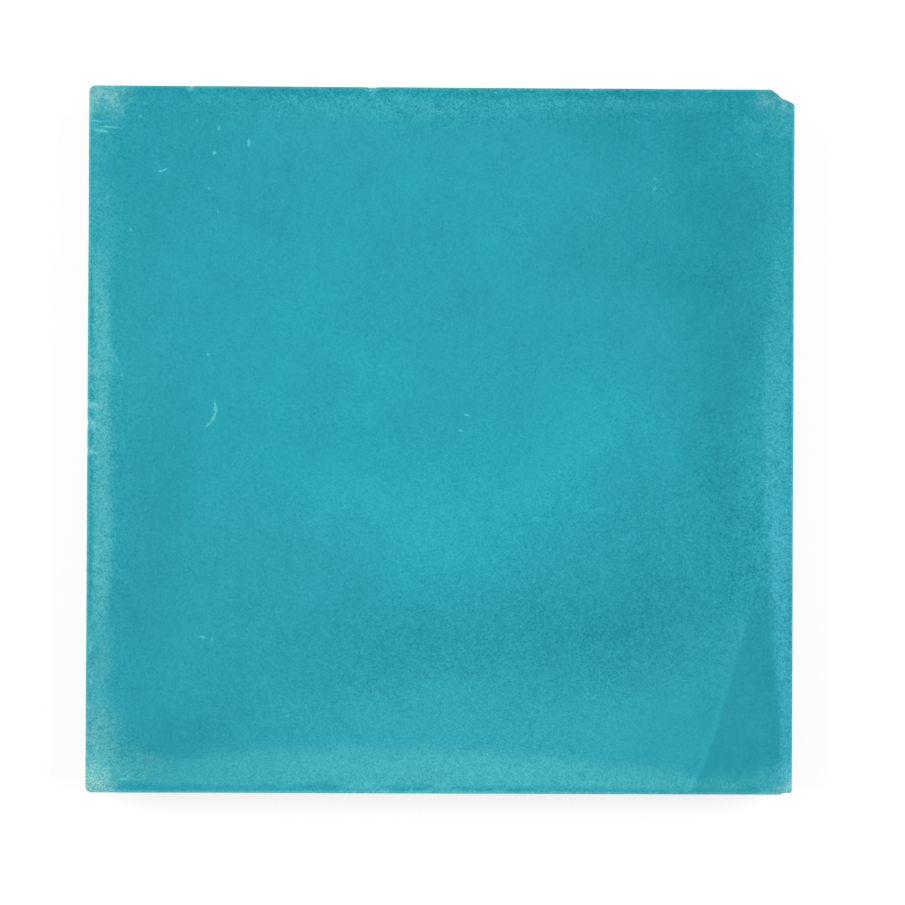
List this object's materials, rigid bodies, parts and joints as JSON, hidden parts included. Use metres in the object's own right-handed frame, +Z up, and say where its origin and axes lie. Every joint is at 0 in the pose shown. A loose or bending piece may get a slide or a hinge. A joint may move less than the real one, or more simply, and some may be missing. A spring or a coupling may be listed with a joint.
{
  "type": "cement tile",
  "caption": "Square pressed cement tile with a plain turquoise pigmented wearing face, flat bed, worn arrises and a broken corner, for floors and walls.",
  "frame": {"origin": "centre of the bed, the flat underside that is laid in adhesive", "axes": "+Z up out of the wearing face, +X and +Y along the sides, with the broken corner between +X and +Y"},
  "size_m": [0.2, 0.2, 0.016],
  "materials": {
    "pigmented_cement": "matte"
  },
  "bodies": {
    "root": {"tile": "pigmented_cement"}
  },
  "joints": []
}
